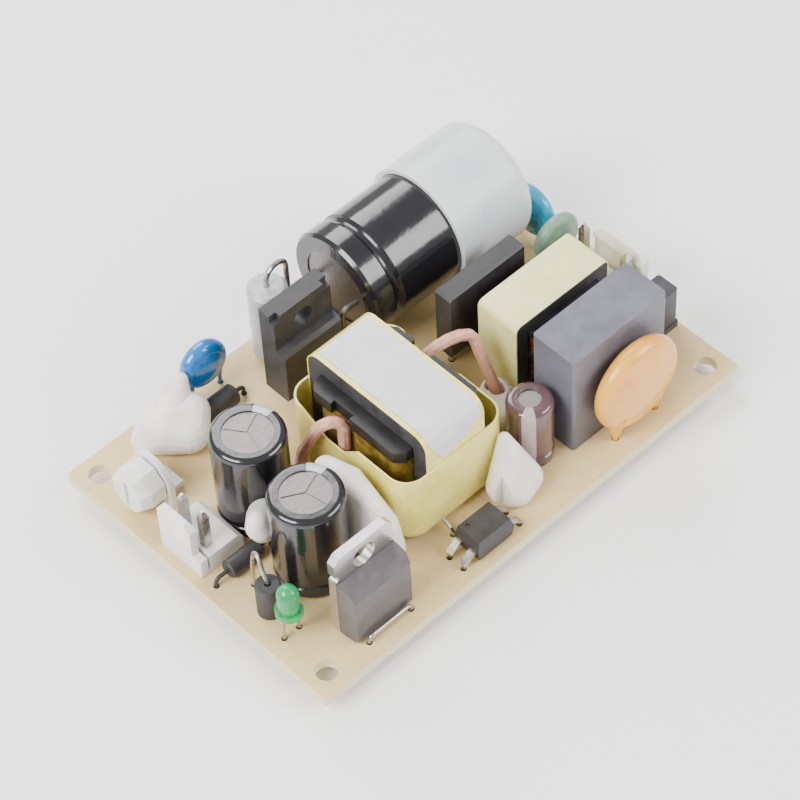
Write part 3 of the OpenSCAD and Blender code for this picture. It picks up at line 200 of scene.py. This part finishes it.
FINISHES = {
    "white_nylon": (finish("white nylon", srgb(238, 235, 232), srgb(226, 222, 220), 0.42, 0.25,
                           3, 0.006, skin=0.35), ["output_header"]),
    "ivory_nylon": (finish("ivory nylon", srgb(238, 234, 220), srgb(228, 222, 204), 0.45, 0.25,
                           3, 0.006, skin=0.3), ["input_header"]),
    "tinned": (finish("tinned wire", srgb(205, 202, 196), srgb(168, 164, 158), 0.28, 0.3, 1.2,
                      0.012, metal=1.0),
               ["output_header_posts", "input_header_posts", "rectifier_leads", "jumper_wire",
                "bead_wire", "indicator_leads", "switch_leads", "bridge_leads",
                "optocoupler_pins", "shield_wire", "standing_diode_lead"]),
    "solder": (finish("solder", srgb(200, 200, 200), srgb(150, 150, 152), 0.3, 0.35, 0.8, 0.03,
                      metal=1.0), ["solder_joints"]),
    "black_epoxy": (finish("moulded epoxy", srgb(58, 56, 58), srgb(42, 41, 43), 0.5, 0.14, 2.5,
                           0.012), ["switch_case", "optocoupler_case", "small_diode",
                                    "clamp_diode", "bridge_case", "chip_parts"]),
    "grey_epoxy": (finish("rectifier epoxy", srgb(92, 86, 88), srgb(74, 70, 72), 0.45, 0.16,
                          2.5, 0.012), ["rectifier_case"]),
    "ferrite": (finish("sintered ferrite", srgb(64, 61, 63), srgb(44, 42, 44), 0.62, 0.12, 1.6,
                       0.02), ["ferrite_bead", "choke_core", "transformer_core"]),
    "bobbin": (finish("black bobbin", srgb(36, 34, 36), srgb(24, 23, 25), 0.38, 0.2, 2.0, 0.01),
               ["transformer_bobbin", "choke_bobbin"]),
    "diode_grey": (finish("painted diode", srgb(176, 176, 180), srgb(156, 156, 160), 0.35, 0.3,
                          1.5, 0.012, coat=0.3), ["standing_diode"]),
    "fuse": (finish("fuse case", srgb(62, 61, 64), srgb(46, 45, 48), 0.42, 0.15, 2.0, 0.01),
             ["box_fuse"]),
    "trimmer": (finish("trimmer plastic", srgb(234, 233, 228), srgb(220, 219, 213), 0.35, 0.3,
                       1.5, 0.008, skin=0.5), ["trimmer_body", "trimmer_rotor"]),
    "blue": (finish("blue dip", srgb(0, 122, 200), srgb(0, 98, 176), 0.16, 1.4, 2.4, 0.05,
                    coat=0.5), ["y_capacitor"]),
    "teal": (finish("teal dip", srgb(34, 160, 192), srgb(16, 138, 172), 0.2, 1.2, 2.0, 0.05,
                    coat=0.4), ["snubber_capacitor"]),
    "thermistor": (finish("grey green dip", srgb(122, 150, 128), srgb(98, 126, 106), 0.42, 0.5,
                          1.2, 0.05), ["inrush_thermistor"]),
    "orange": (finish("orange dip", srgb(242, 178, 70), srgb(228, 156, 48), 0.3, 1.2, 3.0,
                      0.05, coat=0.35, skin=0.15), ["varistor"]),
    "box_grey": (finish("grey box", srgb(104, 104, 116), srgb(90, 90, 100), 0.4, 0.2, 3.5,
                        0.008), ["x_capacitor"]),
}
for painted, names in FINISHES.values():
    paint(painted, *names)
print("plain finishes:", len(FINISHES))

# %% [markdown]
# ## Finishes with a rule
# Some surfaces change with place: bare laminate has a matt face and a paler, fibrous
# edge, a brushed can is streaked, a sleeve is glossy and thin. Object coordinates give the
# place, so the finish stays on the piece whatever the camera does.

# %% Laminate board
def laminate():
    """Tan face with faint fibre, paler on the cut edge."""
    material, tree, shader = new_material("tan laminate")
    point = object_point(tree)
    fibre = noise_field(tree, object_point(tree, scale=(1, 0.25, 1)), 0.5, 6.0, 0.7)
    cloud = noise_field(tree, point, 9.0, 4.0)
    face = mix_colours(tree, cloud, srgb(216, 188, 132), srgb(222, 197, 145))
    face = mix_colours(tree, colour_ramp(tree, fibre, [(0.4, (0, 0, 0)), (0.75, (0.3, 0.3, 0.3))]),
                       face, srgb(196, 166, 112))
    shape = add_node(tree, "ShaderNodeNewGeometry")
    axes = add_node(tree, "ShaderNodeSeparateXYZ")
    tree.links.new(shape.outputs["Normal"], axes.inputs["Vector"])
    upright = math_node(tree, "ABSOLUTE", axes.outputs["Z"])
    edge = math_node(tree, "LESS_THAN", upright, 0.5)
    tree.links.new(mix_colours(tree, edge, face, srgb(224, 210, 170)), shader.inputs["Base Color"])
    shader.inputs["Roughness"].default_value = 0.48
    bump(tree, shader, fibre, 0.008)
    return material


paint(laminate(), "board")


# %% Brushed aluminium and plated tab
def brushed(name, light, dark, rough, stretch=(1, 14, 1), size_mm=1.2):
    """Metal with fine streaks along one axis."""
    material, tree, shader = new_material(name)
    streaks = noise_field(tree, object_point(tree, scale=stretch), size_mm, 6.0, 0.7)
    tree.links.new(colour_ramp(tree, streaks, [(0.3, dark), (0.7, light)]),
                   shader.inputs["Base Color"])
    shader.inputs["Metallic"].default_value = 1.0
    shader.inputs["Roughness"].default_value = rough
    bump(tree, shader, streaks, 0.01)
    return material


paint(brushed("can lid", srgb(158, 152, 150), srgb(110, 104, 104), 0.42), "output_cap_a_can",
      "output_cap_b_can", "aux_cap_can", "bulk_cap_can")
paint(brushed("plated tab", srgb(232, 226, 226), srgb(196, 188, 188), 0.3, (1, 1, 10), 1.6),
      "rectifier_tab")


# %% Shrunk sleeves
def sleeve(name, colour, dark, middle, stripe=None, stripe_turn=0.0, stripe_half=0.35):
    """Glossy shrunk film, with a paler stripe down one side where there is one."""
    material, tree, shader = new_material(name)
    point = object_point(tree, offset=(-middle[0], -middle[1], 0))
    ripple = noise_field(tree, point, 2.2, 3.0)
    base = mix_colours(tree, ripple, dark, colour)
    if stripe:
        axes = add_node(tree, "ShaderNodeSeparateXYZ")
        tree.links.new(point, axes.inputs["Vector"])
        angle = math_node(tree, "ARCTAN2", axes.outputs["Y"], axes.outputs["X"])
        away = math_node(tree, "ABSOLUTE", math_node(tree, "SUBTRACT", angle, stripe_turn))
        base = mix_colours(tree, math_node(tree, "LESS_THAN", away, stripe_half), base, stripe)
    tree.links.new(base, shader.inputs["Base Color"])
    shader.inputs["Roughness"].default_value = 0.17
    shader.inputs["Coat Weight"].default_value = 0.4
    bump(tree, shader, ripple, 0.05)
    return material


def middle_of(name):
    """The centre of a CAD node's box."""
    low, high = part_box(name)
    return (Vector(low) + Vector(high)) / 2


for name, turn in (("output_cap_a_sleeve", 0.5), ("output_cap_b_sleeve", 0.35)):
    paint(sleeve(name.replace("_", " "), srgb(30, 29, 33), srgb(20, 19, 22), middle_of(name),
                 srgb(176, 172, 176), turn, 0.3), name)
paint(sleeve("aux sleeve", srgb(92, 66, 68), srgb(74, 52, 54), middle_of("aux_cap_sleeve"),
             srgb(168, 152, 150), -2.4, 0.3), "aux_cap_sleeve")
paint(sleeve("bulk sleeve", srgb(27, 26, 29), srgb(18, 17, 20), (0, 0, 0)), "bulk_cap_sleeve")


# %% Tape, label, coil, cup, lens and insulated strand
def tape(name, light, dark, seen=0.15):
    """Polyester tape: glossy and slightly see-through, with fine creases."""
    material, tree, shader = new_material(name)
    point = object_point(tree)
    cloud = noise_field(tree, point, 3.0, 5.0, 0.65)
    tree.links.new(colour_ramp(tree, cloud, [(0.35, dark), (0.65, light)]),
                   shader.inputs["Base Color"])
    creases = noise_field(tree, object_point(tree, scale=(1, 1, 3)), 2.5, 4.0, 0.6, 0.6)
    shader.inputs["Roughness"].default_value = 0.24
    shader.inputs["Coat Weight"].default_value = 0.3
    shader.inputs["Subsurface Weight"].default_value = seen
    shader.inputs["Subsurface Radius"].default_value = (0.0006, 0.0006, 0.0002)
    shader.inputs["Subsurface Scale"].default_value = 1.0
    bump(tree, shader, creases, 0.12)
    return material


paint(tape("yellow tape", srgb(240, 230, 128), srgb(226, 212, 104)), "transformer_wrap",
      "transformer_core_tape")
paint(tape("choke tape", srgb(236, 232, 168), srgb(226, 221, 152)), "choke_tape")
paint(finish("label stock", srgb(214, 214, 218), srgb(202, 202, 207), 0.45, 0.4, 6.0, 0.01),
      "transformer_label")
paint(finish("taped coil", srgb(150, 128, 50), srgb(96, 74, 30), 0.35, 0.5, 1.4, 0.06,
             coat=0.3), "transformer_winding")
paint(finish("enamelled copper", srgb(196, 120, 70), srgb(150, 84, 46), 0.25, 0.3, 1.0, 0.02,
             metal=0.9), "choke_windings")
paint(finish("milky cup", srgb(236, 238, 240), srgb(226, 229, 232), 0.3, 1.5, 6.0, 0.03,
             through=0.25, skin=0.4, ior=1.45), "bulk_cap_cup")
paint(finish("green lens", srgb(40, 190, 110), srgb(24, 160, 88), 0.12, 2.0, 2.0, 0.0,
             through=0.45, skin=0.2), "indicator_lens")
paint(finish("pink strand", srgb(214, 164, 144), srgb(190, 138, 118), 0.42, 0.5, 1.2, 0.03,
             skin=0.2), "transformer_leads")
paint(finish("cured silicone", srgb(240, 236, 230), srgb(224, 218, 208), 0.42, 0.8, 2.5, 0.08,
             skin=0.5), "glue_corner", "glue_bead", "glue_teardrop", "glue_rectifier",
      "glue_choke")
bare = [n for n, o in nodes.items() if not o.data.materials or o.data.materials[0] is None]
print("nodes without a finish:", bare)

# %% [markdown]
# ## The room
# A wide flat floor, three soft lamps and a bright world.

# %% Floor, world and lamps
def flat_mesh(name, corners, faces, material):
    """A plain mesh object from points and faces."""
    mesh = bpy.data.meshes.new(name)
    mesh.from_pydata(corners, [], faces)
    mesh.update()
    obj = bpy.data.objects.new(name, mesh)
    mesh.materials.append(material)
    bpy.context.scene.collection.objects.link(obj)
    return obj


FLOOR_SIZE = 4.0
FLOOR_Z = cad_box[0][2] - 0.1 * MM
floor_material, floor_tree, floor_shader = new_material("white table")
floor_shader.inputs["Base Color"].default_value = (0.92, 0.92, 0.92, 1)
floor_shader.inputs["Roughness"].default_value = 0.7
floor = flat_mesh("floor", [(x * FLOOR_SIZE, y * FLOOR_SIZE, FLOOR_Z) for x, y in
                            ((-1, -1), (1, -1), (1, 1), (-1, 1))], [(0, 1, 2, 3)], floor_material)

world = bpy.data.worlds.new("studio")
world.use_nodes = True
world.node_tree.nodes["Background"].inputs["Color"].default_value = (1.0, 1.0, 1.0, 1)
world.node_tree.nodes["Background"].inputs["Strength"].default_value = 0.75
bpy.context.scene.world = world


def soft_lamp(name, place, size, power):
    """A square lamp aimed at the board's middle."""
    light = bpy.data.lights.new(name, "AREA")
    light.size, light.energy = size, power
    lamp = bpy.data.objects.new(name, light)
    lamp.location = place
    lamp.rotation_mode = "QUATERNION"
    lamp.rotation_quaternion = (Vector((0, 0, 0.01)) - Vector(place)).to_track_quat("-Z", "Y")
    bpy.context.scene.collection.objects.link(lamp)


soft_lamp("lamp_left", (-0.45, 0.05, 0.45), 0.35, 7.0)
soft_lamp("lamp_right", (0.35, -0.40, 0.40), 0.35, 4.5)
soft_lamp("lamp_back", (0.15, 0.50, 0.45), 0.40, 4.5)
print("lamps:", len(bpy.data.lights))
